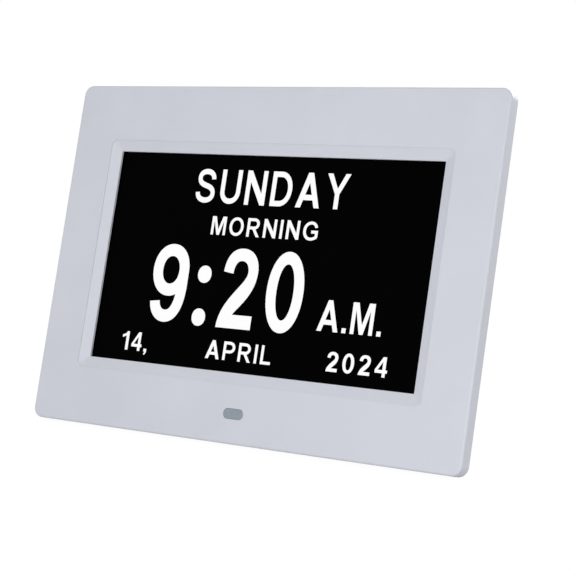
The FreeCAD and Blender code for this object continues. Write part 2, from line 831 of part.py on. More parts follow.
def rear_cover():
    """White rear cover: a flange that drops into the frame and a housing with sloped sides."""
    body = new_body("rear_cover")
    flange_width = "frame_width - 2 * frame_side_wall - 2 * cover_gap"
    flange_height = "frame_height - 2 * frame_side_wall - 2 * cover_gap"
    flange_corner = "frame_corner - frame_side_wall - cover_gap"
    block(body, flange_width, flange_height, "flange_front", "frame_depth", corner=flange_corner)
    housing = taper(
        body,
        ("housing_width", "housing_height", "housing_corner", "frame_depth - join_overlap"),
        (
            "housing_width - 2 * housing_inset",
            "housing_height - 2 * housing_inset",
            "housing_corner - housing_inset",
            "case_depth",
        ),
    )
    round_edges(body, housing, "housing_round", at_depth("case_depth"))
    inner_corner = "housing_corner - cover_wall"
    taper(
        body,
        (
            "housing_width - 2 * cover_wall",
            "housing_height - 2 * cover_wall",
            inner_corner,
            "flange_front - join_overlap",
        ),
        (
            "housing_width - 2 * cover_wall - 2 * housing_inset",
            "housing_height - 2 * cover_wall - 2 * housing_inset",
            f"{inner_corner} - housing_inset",
            "cover_inside",
        ),
        cut=True,
    )
    leg_channel(body)
    block(
        body,
        "sensor_board_width + 2 * sensor_pocket_room",
        "sensor_board_height + 2 * sensor_pocket_room",
        "flange_front - join_overlap",
        "sensor_board_back + sensor_post_proud + sensor_pocket_gap",
        z="sensor_rise",
        cut=True,
    )
    block(
        body,
        "label_width",
        "label_height",
        "case_depth - label_recess",
        "case_depth + cut_reach",
        "label_x",
        "label_rise",
        "label_corner",
        cut=True,
    )
    jack_door(body)
    wall_keyholes(body)
    board_posts(body)
    screws_at = case_screw_points()
    rim = "frame_depth + join_overlap"
    pegs(body, "screw_hole_radius", "flange_front - join_overlap", rim, screws_at, cut=True)
    bore = "screw_head_radius + screw_head_gap"
    pegs(body, bore, "frame_depth - counterbore_depth", rim, screws_at, cut=True)
    speaker_seat(body)
    button_holes(body)
    vents(body)
    keep("rear_cover", body)


def leg_channel(body):
    """Channel in the rear face that the folded leg lies in, with lugs for its pin."""
    block(
        body,
        "channel_width + 2 * cover_wall",
        "channel_top + cover_wall - channel_foot",
        "channel_floor - cover_wall",
        "cover_inside + join_overlap",
        z="(channel_top + cover_wall + channel_foot) / 2",
    )
    for side in ("-", ""):
        block(
            body,
            "lug_thickness + 2 * join_overlap",
            "lug_height",
            "channel_floor - cover_wall",
            "cover_inside + join_overlap",
            x=f"{side}(channel_width / 2 + cover_wall + lug_thickness / 2 - join_overlap)",
            z="hinge_rise",
        )
    block(
        body,
        "channel_width",
        "channel_top + channel_foot",
        "channel_floor",
        "case_depth + cut_reach",
        z="(channel_top - channel_foot) / 2",
        cut=True,
    )
    reach = "(pin_length / 2 + 2 * join_overlap)"
    cross_peg(body, "pin_radius + pin_press_gap", f"-{reach}", reach, "hinge_depth", "hinge_rise", cut=True)


def board_posts(body):
    """Posts on the inside of the rear wall, with screw holes, for the two circuit boards."""
    posts = [("board", board_post_points()), ("button_board", button_post_points())]
    for board, points in posts:
        pegs(body, "post_radius", f"{board}_back", "cover_inside + join_overlap", points)
        depth = f"{board}_front + board_screw_length + screw_tip_room"
        pegs(body, "screw_radius + screw_bite_gap", f"{board}_back - join_overlap", depth, points, cut=True)


def button_holes(body):
    """One rounded hole in the rear wall for each button, from the top of the column down."""
    hole = block(
        body,
        "button_width + 2 * button_gap",
        "button_height + 2 * button_gap",
        "cover_inside - join_overlap",
        "case_depth + cut_reach",
        "button_x",
        button_rise(0),
        "button_corner + button_gap",
        cut=True,
    )
    column = repeat(body, hole, "LinearPattern", "V_Axis", len(BUTTON_NAMES))
    column.Reversed = True
    bind(column, "Length", f"button_pitch * {len(BUTTON_NAMES) - 1}")


def wall_keyholes(body):
    """Two keyholes: a screw's head enters the round hole, and its shank slides up the slot."""
    start, end = "cover_inside - join_overlap", "case_depth + cut_reach"
    entries = [("-keyhole_x", "keyhole_rise"), ("keyhole_x", "keyhole_rise")]
    pegs(body, "keyhole_entry_radius", start, end, entries, cut=True)
    for x, _ in entries:
        block(
            body,
            "2 * keyhole_slot_radius",
            "keyhole_slot_run + 2 * keyhole_slot_radius",
            start,
            end,
            x,
            "keyhole_rise + keyhole_slot_run / 2",
            "keyhole_slot_radius - slot_end_flat",
            cut=True,
        )


def speaker_seat(body):
    """Ring that holds the speaker, and the grille of round holes in front of its cone."""
    outer = "speaker_radius + speaker_ring_gap + speaker_ring_wall"
    ring_front = "cover_inside - speaker_ring_height"
    peg(body, outer, ring_front, "cover_inside + join_overlap", "speaker_x", "speaker_rise")
    inner = "speaker_radius + speaker_ring_gap"
    peg(body, inner, f"{ring_front} - join_overlap", "cover_inside", "speaker_x", "speaker_rise", cut=True)
    start, end = "cover_inside - join_overlap", "case_depth + cut_reach"
    peg(body, "grille_hole_radius", start, end, "speaker_x", "speaker_rise", cut=True)
    rings = [("grille_inner_ring", GRILLE_INNER_COUNT), ("grille_outer_ring", GRILLE_OUTER_COUNT)]
    for ring_radius, count in rings:
        sketch = new_sketch(body, "XZ", "speaker_x", start, "speaker_rise")
        draw_circles(sketch, "grille_hole_radius", [(ring_radius, "0")])
        hole = extrude(body, sketch, "XZ", f"({end}) - ({start})", cut=True)
        repeat(body, hole, "PolarPattern", "N_Axis", count)


def vents(body):
    """Two rows of upright slots low in the rear face."""
    for side in ("-", ""):
        slot = block(
            body,
            "vent_width",
            "vent_height",
            "cover_inside - join_overlap",
            "case_depth + cut_reach",
            f"{side}vent_near_x",
            "vent_rise",
            "vent_width / 2 - slot_end_flat",
            cut=True,
        )
        row = repeat(body, slot, "LinearPattern", "H_Axis", VENT_COUNT)
        row.Reversed = side == "-"
        bind(row, "Length", f"vent_pitch * {VENT_COUNT - 1}")


def jack_door(body):
    """Round hole in the side wall that lets the power plug reach its jack."""
    cross_peg(
        body,
        "jack_door_radius",
        "-housing_width / 2 - cut_reach",
        "jack_face + 2 * join_overlap",
        "jack_axis_depth",
        "jack_rise",
        cut=True,
    )


def sensor_parts():
    """Light sensor behind the small oval window in the lower frame."""
    lens = new_body("sensor_window")
    block(
        lens,
        "sensor_width",
        "sensor_height",
        "sensor_sink",
        "frame_front_wall + sensor_flange_thickness",
        z="sensor_rise",
        corner="sensor_corner",
    )
    block(
        lens,
        "sensor_width + 2 * sensor_flange",
        "sensor_height + 2 * sensor_flange",
        "frame_front_wall",
        "frame_front_wall + sensor_flange_thickness",
        z="sensor_rise",
        corner="sensor_corner + sensor_flange",
    )
    keep("sensor_window", lens)
    slab_piece(
        "light_receiver",
        "receiver_width",
        "receiver_height",
        "receiver_front",
        "sensor_board_front",
        z="sensor_rise",
        corner="receiver_corner",
    )
    board = new_body("sensor_board")
    block(
        board,
        "sensor_board_width",
        "sensor_board_height",
        "sensor_board_front",
        "sensor_board_back",
        z="sensor_rise",
        corner="sensor_board_corner",
    )
    pegs(
        board,
        "sensor_post_radius + sensor_post_gap",
        "sensor_board_front - join_overlap",
        "sensor_board_back + join_overlap",
        sensor_post_points(),
        cut=True,
    )
    keep("sensor_board", board)


def strip(label, across, width, points, thickness, upright=True):
    """A flat bent strip, from the points of its bends: (y, z) if upright, otherwise (x, y)."""
    corners = [Vector(*point, 0) for point in points]
    for end, inner in ((0, 1), (-1, -2)):
        corners[end] += (corners[inner] - corners[end]).normalize() * (thickness / 2)
    path = Part.makePolygon(corners)
    face = Part.Face(path.makeOffset2D(thickness / 2, 2, False, False))
    solid = face.extrude(Vector(0, 0, width)).translated(Vector(0, 0, across - width / 2))
    if upright:
        solid = solid.transformGeometry(Placement(Vector(), Rotation(0.5, 0.5, 0.5, 0.5)).toMatrix())
    return group(label, [solid])


def display_module():
    """Liquid crystal display: metal frame, glass, films, light guide, lamps and back tray."""
    body = new_body("display_frame")
    block(body, "module_width", "module_height", "module_front", "module_back")
    block(
        body,
        "module_width - 2 * module_sheet",
        "module_height - 2 * module_sheet",
        "glass_front",
        "module_back + join_overlap",
        cut=True,
    )
    block(
        body,
        "window_width + 2 * polarizer_margin + 2 * polarizer_gap",
        "window_height + 2 * polarizer_margin + 2 * polarizer_gap",
        "module_front - join_overlap",
        "glass_front + join_overlap",
        cut=True,
    )
    block(
        body,
        "display_flex_width + flex_notch_gap",
        "4 * module_sheet",
        "glass_front",
        "module_back + join_overlap",
        x="display_flex_x",
        z="middle_rise - module_height / 2",
        cut=True,
    )
    keep("display_frame", body)

    gasket = new_body("window_gasket")
    block(gasket, "module_width", "module_height", "lip_back", "module_front")
    block(
        gasket,
        "window_width + 2 * gasket_margin",
        "window_height + 2 * gasket_margin",
        "lip_back - join_overlap",
        "module_front + join_overlap",
        cut=True,
    )
    keep("window_gasket", gasket)

    slab_piece(
        "front_polarizer",
        "window_width + 2 * polarizer_margin",
        "window_height + 2 * polarizer_margin",
        "glass_front - polarizer_thickness",
        "glass_front",
    )
    slab_piece("display_glass", "inner_width", "inner_height", "glass_front", "glass_back")
    slab_piece("diffuser_sheet", "inner_width", "inner_height", "glass_back", "guide_front")
    slab_piece(
        "light_guide",
        "inner_width",
        "guide_top - guide_bottom",
        "guide_front",
        "tray_front",
        z="(guide_top + guide_bottom) / 2",
    )
    slab_piece("display_back_tray", "inner_width", "inner_height", "tray_front", "module_back")
    slab_piece(
        "backlight_strip",
        "inner_width - 2 * strip_side_gap",
        "strip_thickness",
        "guide_front",
        "tray_front",
        z="strip_bottom + strip_thickness / 2",
    )
    backlight_lamps()


def backlight_lamps():
    """Row of small lamps on the strip, shining up into the light guide."""
    lamp = new_body("lamp_master")
    block(lamp, "lamp_width", "lamp_height", "0", "lamp_depth", z="lamp_height / 2")
    room = value("inner_width - 2 * strip_side_gap - lamp_width")
    count = int(room / value("lamp_pitch")) + 1
    first = -(count - 1) / 2 * value("lamp_pitch")
    depth = (value("guide_front") + value("tray_front") - value("lamp_depth")) / 2
    points = [(first + n * value("lamp_pitch"), depth, value("lamp_bottom")) for n in range(count)]
    group("backlight_lamps", copies(lamp, points))


def flexible_strips():
    """Flat cables inside the case: display to board, sensor to board, buttons to board."""
    thin = value("flex_thickness")
    drop = value("middle_rise - module_height / 2 - flex_drop")
    exit_depth = value("glass_back") - thin
    back = value("flex_plane")
    strip(
        "display_flex",
        value("display_flex_x"),
        value("display_flex_width"),
        [
            (exit_depth, value("inner_bottom")),
            (exit_depth, drop),
            (back, drop),
            (back, value("flex_socket_rise")),
        ],
        thin,
    )
    sensor_depth = value("sensor_board_front + sensor_board_thickness / 2")
    rise = value("sensor_cable_rise")
    strip(
        "sensor_cable",
        value("sensor_cable_x"),
        value("sensor_cable_width"),
        [
            (sensor_depth, value("sensor_rise + sensor_board_height / 2")),
            (sensor_depth, rise),
            (back, rise),
            (back, value("sensor_socket_rise")),
        ],
        thin,
    )
    near = value("button_plug_x + connector_height / 2")
    far = value("button_socket_x - button_socket_width / 2")
    low = value("board_back + connector_depth / 2")
    high = value("button_board_back + connector_depth / 2")
    lift = high + value("button_cable_lift")
    span = far - near
    strip(
        "button_cable",
        value("button_plug_rise"),
        value("button_cable_height"),
        [
            (near, low),
            (near + 0.12 * span, low),
            (near + 0.35 * span, lift),
            (near + 0.65 * span, lift),
            (near + 0.88 * span, high),
            (far, high),
        ],
        value("button_cable_thickness"),
        upright=False,
    )


def display_clips():
    """Small steel clips that press the display module against the frame."""
    clip = new_body("clip_master")
    x = "clip_overhang - clip_width / 2"
    block(clip, "clip_width", "clip_height", "0", "clip_thickness", x, "0", "clip_corner")
    peg(clip, "screw_hole_radius", "-join_overlap", "clip_thickness + join_overlap", z="0", cut=True)
    doc.recompute()
    shapes = []
    for x, z in clip_points():
        shape = clip.Shape.copy()
        if value(x) < 0:
            shape.rotate(Vector(0, 0, 0), Vector(0, 1, 0), 180)
        shapes.append(shape.translated(Vector(value(x), value("module_back"), value(z))))
    group("display_clips", shapes)


def screw_master(label, length):
    """One cross-head screw. Its head stands on Y = 0 towards plus Y, and its shank runs to minus Y."""
    body = new_body(label)
    head = peg(body, "screw_head_radius", "0", "screw_head_height", z="0")
    round_edges(body, head, "screw_head_round", at_depth("screw_head_height"))
    peg(body, "screw_radius", f"-({length})", "join_overlap", z="0")
    for width, height in (
        ("screw_cross_length", "screw_cross_width"),
        ("screw_cross_width", "screw_cross_length"),
    ):
        start = "screw_head_height - screw_cross_depth"
        block(body, width, height, start, "screw_head_height + join_overlap", z="0", cut=True)
    return body


def screw_group(label, length, seat, points, from_back):
    """Identical screws at the points, their heads seated at one depth."""
    master = screw_master(label + "_master", length)
    doc.recompute()
    shapes = []
    for x, z in points:
        shape = master.Shape.copy()
        if not from_back:
            shape.rotate(Vector(0, 0, 0), Vector(0, 0, 1), 180)
        shapes.append(shape.translated(Vector(value(x), value(seat), value(z))))
    group(label, shapes)


def screws():
    """Every screw of the clock, in four groups."""
    case_seat = "frame_depth - counterbore_depth"
    screw_group("case_screws", "case_screw_length", case_seat, case_screw_points(), True)
    clip_seat = "module_back + clip_thickness"
    screw_group("clip_screws", "clip_screw_length", clip_seat, clip_points(), True)
    screw_group("board_screws", "board_screw_length", "board_front", board_post_points(), False)
    button_seat = "button_board_front"
    screw_group("button_board_screws", "board_screw_length", button_seat, button_post_points(), False)


def board_with_holes(label, width, height, start, x, z, holes):
    """A circuit board with rounded corners and a screw hole at each point."""
    body = new_body(label)
    block(body, width, height, start, f"{start} + board_thickness", x, z, "board_corner")
    end = f"{start} + board_thickness + join_overlap"
    pegs(body, "screw_hole_radius", f"{start} - join_overlap", end, holes, cut=True)
    keep(label, body)


def main_board():
    """Main circuit board and the parts soldered to it."""
    board_with_holes(
        "main_board",
        "board_right - board_left",
        "board_top - board_bottom",
        "board_front",
        "board_middle_x",
        "board_bottom + board_height / 2",
        board_post_points(),
    )
    on_board = [
        ("processor", "processor_size", "processor_size", "processor_thickness", "processor"),
        ("memory_chip", "memory_width", "memory_height", "memory_thickness", "memory"),
        ("clock_crystal", "crystal_width", "crystal_height", "crystal_thickness", "crystal"),
        ("power_coil", "coil_size", "coil_size", "coil_thickness", "coil"),
    ]
    for label, width, height, thickness, spot in on_board:
        back = f"board_back + {thickness}"
        slab_piece(label, width, height, "board_back", back, f"{spot}_x", f"{spot}_rise", "chip_corner")
    capacitor = new_body("capacitor_master")
    can = peg(capacitor, "capacitor_radius", "0", "capacitor_height", z="0")
    round_edges(capacitor, can, "capacitor_round", at_depth("capacitor_height"))
    x, y, z = value("capacitor_x"), value("board_back"), value("capacitor_rise")
    group("capacitors", copies(capacitor, [(x, y, z), (x, y, z + value("capacitor_pitch"))]))
    connectors()
    backup_cell()
    power_jack()


def connectors():
    """Cable connectors on both faces of the main board and on the button board."""
    tall = "button_cable_height + 2 * button_plug_margin"
    plugs = [
        ("speaker_plug_x", "speaker_plug_rise", "connector_width", "connector_height", "board_back"),
        ("button_plug_x", "button_plug_rise", "connector_height", tall, "board_back"),
        ("button_socket_x", "button_plug_rise", "button_socket_width", tall, "button_board_back"),
    ]
    shapes = []
    for n, (x, z, width, height, start) in enumerate(plugs):
        body = new_body(f"connector_master_{n}")
        block(body, width, height, start, f"{start} + connector_depth", x, z)
        shapes += copies(body, [(0, 0, 0)])
    group("wire_connectors", shapes)
    sockets = [
        ("display_flex_x", "flex_socket_rise", "display_flex_width + 2 * flex_socket_margin"),
        ("sensor_cable_x", "sensor_socket_rise", "sensor_cable_width + 2 * flex_socket_margin"),
    ]
    shapes = []
    for n, (x, bottom, width) in enumerate(sockets):
        body = new_body(f"socket_master_{n}")
        middle = f"{bottom} + flex_socket_height / 2"
        start = "board_front - flex_socket_depth"
        block(body, width, "flex_socket_height", start, "board_front", x, middle)
        shapes += copies(body, [(0, 0, 0)])
    group("flex_sockets", shapes)


def backup_cell():
    """Round cell that keeps the time when the power is off, and its open holder."""
    holder = new_body("cell_holder")
    block(
        holder,
        "2 * holder_half",
        "2 * holder_half",
        "board_back",
        "board_back + cell_floor + holder_height",
        "cell_x",
        "cell_rise",
        "holder_corner",
    )
    peg(
        holder,
        "cell_radius + cell_gap",
        "board_back + cell_floor",
        "board_back + cut_reach + cell_floor + holder_height",
        "cell_x",
        "cell_rise",
        cut=True,
    )
    keep("cell_holder", holder)
    cell = new_body("backup_cell")
    end = "board_back + cell_floor + cell_thickness"
    disc = peg(cell, "cell_radius", "board_back + cell_floor", end, "cell_x", "cell_rise")
    round_edges(cell, disc, "cell_round", at_depth(end))
    keep("backup_cell", cell)


def power_jack():
    """Low-voltage jack at the board's edge, with a round bore and a centre pin."""
    jack = new_body("power_jack")
    block(
        jack,
        "jack_length",
        "jack_width",
        "board_back",
        "board_back + jack_height",
        "jack_face + jack_length / 2",
        "jack_rise",
        "jack_corner",
    )
    bore_end = "jack_face + jack_bore_depth"
    bore_start = "jack_face - cut_reach"
    cross_peg(jack, "jack_bore_radius", bore_start, bore_end, "jack_axis_depth", "jack_rise", cut=True)
    keep("power_jack", jack)
    pin = new_body("power_jack_pin")
    tip = "jack_face + jack_pin_sink"
    body_end = cross_peg(pin, "jack_pin_radius", tip, bore_end, "jack_axis_depth", "jack_rise")
    round_edges(pin, body_end, "jack_pin_round", lambda edge: abs(edge.BoundBox.XMax - value(tip)) < 1e-4)
    keep("power_jack_pin", pin)


def buttons():
    """Seven push buttons, each over the plunger of its own small switch."""
    board_with_holes(
        "button_board",
        "button_board_width",
        "button_board_length",
        "button_board_front",
        "button_x",
        "middle_rise",
        button_post_points(),
    )
    button = new_body("button_master")
    cap = block(
        button,
        "button_width",
        "button_height",
        "button_flange_back - join_overlap",
        "case_depth + button_proud",
        x="0",
        z="0",
        corner="button_corner",
    )
    round_edges(button, cap, "button_top_round", at_depth("case_depth + button_proud"))
    block(
        button,
        "button_width + 2 * button_flange",
        "button_height + 2 * button_flange",
        "button_flange_front",
        "button_flange_back",
        x="0",
        z="0",
        corner="button_corner",
    )
    peg(button, "button_stem_radius", "plunger_top", "button_flange_front + join_overlap", z="0")
    plunger = new_body("plunger_master")
    peg(plunger, "plunger_radius", "plunger_bottom", "plunger_top", z="0")
    switch = new_body("switch_master")
    block(
        switch,
        "switch_size",
        "switch_size",
        "button_board_back",
        "switch_top",
        x="0",
        z="0",
        corner="switch_corner",
    )
    peg(
        switch,
        "plunger_radius + plunger_gap",
        "plunger_bottom - button_travel - plunger_room",
        "switch_top + join_overlap",
        z="0",
        cut=True,
    )
    points = [(value("button_x"), 0, value(button_rise(n))) for n in range(len(BUTTON_NAMES))]
    group("button_switches", copies(switch, points))
    for name, point in zip(BUTTON_NAMES, points):
        group(f"button_{name}", copies(button, [point]))
        group(f"plunger_{name}", copies(plunger, [point]))


def ring(outer, inner, start, end):
    """A flat round ring about the Y axis."""
    axis = Vector(0, 1, 0)
    tube = Part.makeCylinder(outer, end - start, Vector(0, start, 0), axis)
    return tube.cut(Part.makeCylinder(inner, end - start, Vector(0, start, 0), axis))


def speaker():
    """Round alarm speaker: steel cup, magnet, paper cone and foam ring."""
    axis = Vector(0, 1, 0)
    back, front = value("speaker_back"), value("speaker_cup_front")
    sheet_metal, radius = value("speaker_sheet"), value("speaker_radius")
    cup = Part.makeCylinder(radius, back - front, Vector(0, front, 0), axis)
    hollow = Part.makeCylinder(radius - sheet_metal, back - front, Vector(0, front + sheet_metal, 0), axis)
    at = Vector(value("speaker_x"), 0, value("speaker_rise"))
    group("speaker_cup", [cup.cut(hollow).translated(at)])
    magnet_front = back - value("speaker_depth")
    magnet = Part.makeCylinder(value("magnet_radius"), front - magnet_front, Vector(0, magnet_front, 0), axis)
    group("speaker_magnet", [magnet.translated(at)])
    gasket = ring(radius, radius - value("speaker_gasket_width"), back, value("cover_inside"))
    group("speaker_gasket", [gasket.translated(at)])
    group("speaker_cone", [cone_shape(back, radius - sheet_metal).translated(at)])


def cone_shape(back, room):
    """Shallow paper cone with a domed middle, turned about the Y axis."""
    thick = value("cone_thickness")
    rim, neck = room - value("cone_rim_inset"), value("cone_neck_radius")
    low = back - value("cone_depth") - thick
    high = back - thick
    dome = low + (high - low) * 0.7
    edge = room - value("cone_rim_gap")
    top = [Vector(edge, high, 0), Vector(rim, high, 0), Vector(neck, low, 0), Vector(0, dome, 0)]
    upper = [point + Vector(0, thick, 0) for point in reversed(top)]
    profile = Part.Face(Part.makePolygon(top + upper + [top[0]]))
    return profile.revolve(Vector(0, 0, 0), Vector(0, 1, 0), 360)


def smooth_path(points, bend):
    """A wire of straight runs joined by tangent arcs of one bend radius."""
    corners = [Vector(*point) for point in points]
    edges, start = [], corners[0]
    for before, corner, after in zip(corners, corners[1:], corners[2:]):
        inward = (before - corner).normalize()
        outward = (after - corner).normalize()
        half_turn = (math.pi - inward.getAngle(outward)) / 2
        trim = bend * math.tan(half_turn)
        enter, leave = corner + inward * trim, corner + outward * trim
        middle_way = (inward + outward).normalize()
        centre = corner + middle_way * (bend / math.cos(half_turn))
        middle = centre - middle_way * bend
        edges.append(Part.LineSegment(start, enter).toShape())
        edges.append(Part.Arc(enter, middle, leave).toShape())
        start = leave
    edges.append(Part.LineSegment(start, corners[-1]).toShape())
    return Part.Wire(edges)


def speaker_wires():
    """Two insulated wires from the main board up to the front of the speaker's cup."""
    radius = value("speaker_wire_radius")
    depth = value("board_back + connector_depth / 2")
    plug_top = value("speaker_plug_rise + connector_height / 2")
    cup_front = value("speaker_cup_front")
    landing = value("speaker_x + speaker_radius - speaker_wire_inset")
    shapes = []
    for side in (-1, 1):
        offset = side * value("speaker_wire_spread")
        start = value("speaker_plug_x") + offset
        level = value("speaker_rise") + offset
        points = [
            (start, depth, plug_top),
            (start, depth, level),
            (landing, depth, level),
            (landing, cup_front, level),
        ]
        path = smooth_path(points, 3 * radius)
        profile = Part.Wire(Part.makeCircle(radius, Vector(*points[0]), Vector(0, 0, 1)))
        shapes.append(path.makePipeShell([profile], True, False))
    group("speaker_wires", shapes)


def stand_pin():
    """Steel pin pressed into the lugs, which the leg turns on."""
    body = new_body("stand_pin")
    reach = "(pin_length / 2)"
    cross_peg(body, "pin_radius", f"-{reach}", reach, "hinge_depth", "hinge_rise")
    keep("stand_pin", body)


def stand_leg():
    """Folding leg, drawn folded with its pin on the X axis and its foot towards minus Z."""
    body = new_body("stand_leg")
    half = "leg_thickness / 2"
    plate = block(
        body,
        "leg_width",
        "leg_reach",
        f"-{half}",
        half,
        z="-leg_reach / 2",
    )
    round_edges(
        body,
        plate,
        "leg_edge_round",
        lambda edge: edge.BoundBox.YLength < 1e-4
        and edge.BoundBox.YMin > 0
        and edge.BoundBox.ZLength > 1,
    )
    half_width = "(leg_width / 2)"
    cross_peg(body, "barrel_radius", f"-{half_width}", half_width, "0", "0")
    leg_stop(body, half_width)
    cut_foot(body)
    leg_pockets(body)
    bore = "pin_radius + pin_running_gap"
    cross_peg(body, bore, f"-{half_width} - cut_reach", f"{half_width} + cut_reach", "0", "0", cut=True)
    keep("stand_leg", body, hinge_placement())


def leg_stop(body, half_width):
    """Heel above the pin that meets the channel's floor when the leg is fully open."""
    across, up = "(-stop_reach / 2)", "(stop_height / 2)"
    y = f"{across} * cos(open_angle) + {up} * sin(open_angle)"
    z = f"{up} * cos(open_angle) - {across} * sin(open_angle)"
    sketch = new_sketch(body, "YZ", f"-{half_width} + stop_side_inset", y, z, turn="-open_angle")
    draw_rectangle(sketch, "stop_reach", "stop_height")
    extrude(body, sketch, "YZ", f"2 * ({half_width} - stop_side_inset)", False)


def cut_foot(body):
    """Trims the leg's end so that it is level when the leg stands open."""
    sketch = body.newObject("Sketcher::SketchObject", "Outline")
    support = next(f for f in body.Origin.OriginFeatures if f.Role == "XY_Plane")
    sketch.AttachmentSupport = (support, "")
    sketch.MapMode = "FlatFace"
    sketch.AttachmentOffset = Placement(Vector(), Rotation(Vector(1, 0, 0), -value("leg_slant")))
    bind(sketch, "AttachmentOffset.Base.z", "-leg_end")
    bind(sketch, "AttachmentOffset.Rotation.Angle", "-leg_slant")
    draw_rectangle(sketch, "2 * leg_width", "8 * leg_thickness")
    pocket = body.newObject("PartDesign::Pocket", "Trim")
    pocket.Profile = sketch
    bind(pocket, "Length", "4 * leg_thickness")


def leg_pockets(body):
    """Hollows in the leg's inner face, with ribs left between them."""
    top, bottom = "(2 * barrel_radius)", "(leg_end - 2 * leg_thickness)"
    pitch = f"({bottom} - {top} + leg_rim) / {LEG_POCKET_COUNT}"
    for n in range(LEG_POCKET_COUNT):
        block(
            body,
            "leg_width - 2 * leg_rim",
            f"{pitch} - leg_rim",
            "-leg_thickness / 2 - join_overlap",
            "leg_thickness / 2 - leg_skin",
            x="0",
            z=f"-({top} + ({n} + 0.5) * {pitch} - leg_rim / 2)",
            corner="leg_pocket_corner",
            cut=True,
        )


def stand_foot():
    """Rubber pad under the leg. It is drawn level, with its sole at Z = 0."""
    body = new_body("stand_foot")
    sketch = new_sketch(body, "XY", "0", "0", "0")
    draw_rectangle(sketch, "leg_width - 2 * foot_side_inset", "foot_depth", "foot_corner")
    extrude(body, sketch, "XY", "foot_thickness", False)
    sole = Placement(Vector(0, value("foot_middle - middle_depth"), 0), Rotation())
    keep("stand_foot", body, sole)


def rating_label():
    """Blank label in its shallow recess."""
    slab_piece(
        "rating_label",
        "label_width - 2 * label_gap",
        "label_height - 2 * label_gap",
        "case_depth - label_recess",
        "case_depth - label_recess + label_thickness",
        "label_x",
        "label_rise",
        "label_corner - label_gap",
    )


def check_document():
    """Stops if any object failed or any piece is missing, broken or empty."""
    doc.recompute()
    failed = [o.Label for o in doc.Objects if {"Invalid", "Error"} & set(o.State)]
    for label, piece in pieces.items():
        shape = piece.Shape
        if shape.isNull() or not shape.isValid() or not shape.Solids:
            failed.append(label)
    if failed:
        raise RuntimeError(f"these did not build: {sorted(set(failed))}")


def write_pieces():
    """Writes one file for each named piece."""
    os.makedirs("parts", exist_ok=True)
    for label, piece in pieces.items():
        piece.Shape.exportStep(os.path.join("parts", f"{label}.step"))
    print(f"{len(pieces)} pieces written")


front_frame()
rear_cover()
sensor_parts()
display_module()
flexible_strips()
display_clips()
main_board()
buttons()
speaker()
speaker_wires()
screws()
stand_pin()
stand_leg()
stand_foot()
rating_label()
check_document()
write_pieces()
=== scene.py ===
import json
import math

import bmesh
import bpy
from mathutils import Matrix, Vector
from mathutils.geometry import tessellate_polygon


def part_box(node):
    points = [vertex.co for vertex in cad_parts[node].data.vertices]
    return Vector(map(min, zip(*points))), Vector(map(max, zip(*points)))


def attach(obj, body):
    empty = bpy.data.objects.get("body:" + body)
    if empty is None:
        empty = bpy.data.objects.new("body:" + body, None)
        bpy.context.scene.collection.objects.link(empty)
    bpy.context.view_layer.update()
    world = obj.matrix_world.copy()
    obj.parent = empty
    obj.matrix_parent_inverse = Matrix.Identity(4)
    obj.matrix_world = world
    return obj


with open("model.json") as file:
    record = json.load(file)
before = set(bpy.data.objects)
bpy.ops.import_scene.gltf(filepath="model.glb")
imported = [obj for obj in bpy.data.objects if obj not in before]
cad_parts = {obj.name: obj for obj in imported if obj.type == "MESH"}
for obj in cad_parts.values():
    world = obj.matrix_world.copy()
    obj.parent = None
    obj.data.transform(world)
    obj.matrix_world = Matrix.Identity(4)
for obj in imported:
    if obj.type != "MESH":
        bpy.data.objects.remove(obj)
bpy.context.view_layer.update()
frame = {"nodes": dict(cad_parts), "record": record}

# A white day clock with a wide flat frame and a black display, on a white table

# Lengths are in metres unless a name ends in _MM or a comment says millimetres
MM = 0.001
LEAN = math.radians(15.5)

# Camera, solved from the corners of the front face and of the window
CAMERA_TURN = math.radians(32.77)
CAMERA_RISE = math.radians(7.3)
CAMERA_DISTANCE = 0.700
CAMERA_TARGET = Vector((-0.0076, 0.0160, 0.0576))
CAMERA_LENS_MM = 103.5
CAMERA_SENSOR_MM = 36.0

# Light: a surround that is brighter on the right, a broad lamp in front of the clock and one behind it
PURE_WHITE = (1, 1, 1, 1)
SURROUND_LEVEL = 0.645
SURROUND_SIDE = 0.41
LAMP_DISTANCE = 0.70
LAMP_WIDTH = 0.70
LAMP_TALL = 0.11
KEY_TURN = math.radians(15)
KEY_HEIGHT = 0.11
KEY_POWER = 2.25
BACK_TURN = math.radians(170)
BACK_HEIGHT = 0.30
BACK_POWER = 2.0

# Table: its own colour, and the share and strength of the plain white that the camera sees over it
FLOOR_SIZE = 6.0
FLOOR_COLOUR = (0.66, 0.66, 0.66)
FLOOR_SHOWN_WHITE = 0.90
FLOOR_WHITE_LEVEL = 1.065

# Directions of the leaned case: to its right, up its front face, out of that face and out of its back
RIGHT = Vector((1, 0, 0))
UP = Vector((0, math.sin(LEAN), math.cos(LEAN)))
OUT = Vector((0, -math.cos(LEAN), math.sin(LEAN)))
REAR = -OUT

# Lowest and highest value of a noise that is put to use
NOISE_LOW = 0.3
NOISE_HIGH = 0.7


